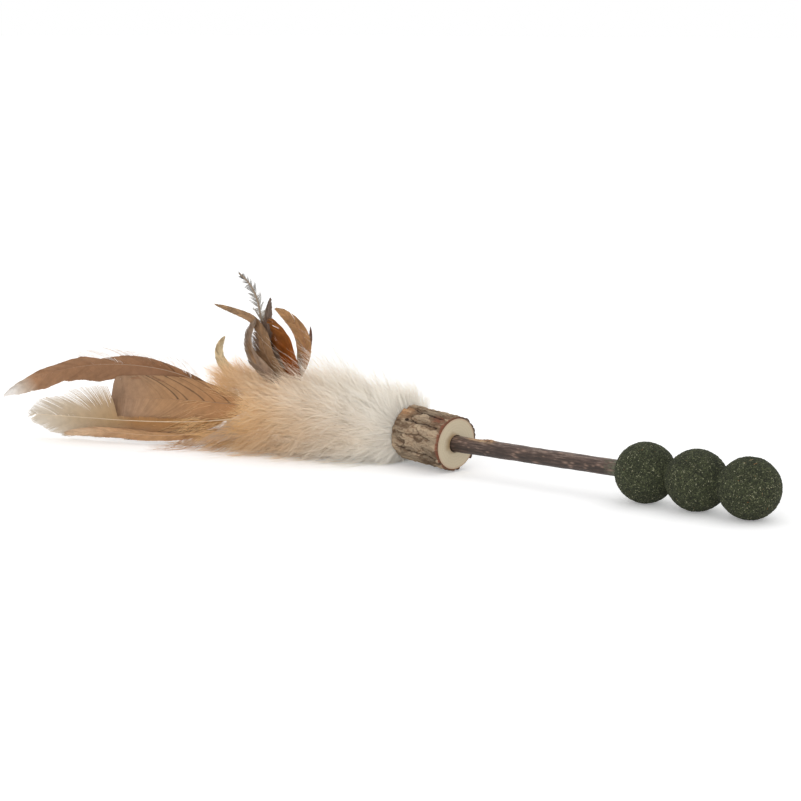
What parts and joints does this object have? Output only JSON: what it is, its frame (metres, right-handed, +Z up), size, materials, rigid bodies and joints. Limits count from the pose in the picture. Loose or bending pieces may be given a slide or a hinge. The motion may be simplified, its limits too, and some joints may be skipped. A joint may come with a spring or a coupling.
{
  "type": "cat teaser wand",
  "caption": "Rigid cat teaser wand: pressed herb balls on a bare twig, which is glued into a short log with bark whose far end holds a tail of down and long feathers.",
  "frame": {"origin": "centre of the log's cut face, on the twig's axis", "axes": "+X along the twig from the log to the herb balls, +Z up as the wand lies on a floor"},
  "size_m": [0.4014, 0.0835, 0.0834],
  "materials": {
    "log_wood": "matte",
    "log_bark": "matte",
    "twig": "matte",
    "glue": "gloss",
    "herb": "matte",
    "down_white": "matte",
    "down_cream": "matte",
    "down_golden": "matte",
    "feather_brown": "satin",
    "feather_pale": "satin",
    "feather_tan": "satin",
    "feather_dark": "satin",
    "feather_orange": "satin",
    "feather_grey": "satin",
    "feather_cream": "satin"
  },
  "bodies": {
    "root": {"log_wood": "log_wood", "log_bark": "log_bark", "stick": "twig", "stick_glue": "glue", "feather_glue": "glue", "ball_1": "herb", "ball_2": "herb", "ball_3": "herb", "down_1": "down_white", "down_2": "down_cream", "down_3": "down_golden", "down_4": "down_golden", "down_5": "down_cream", "down_6": "down_white", "feather_arch": "feather_brown", "feather_pale": "feather_pale", "feather_broad": "feather_tan", "feather_low": "feather_tan", "curl_crescent": "feather_tan", "curl_sliver": "feather_dark", "curl_scoop": "feather_orange", "curl_spike": "feather_dark", "curl_streamer": "feather_brown", "curl_fuzzy": "feather_grey", "curl_strip": "feather_brown", "curl_cream": "feather_cream"}
  },
  "joints": []
}
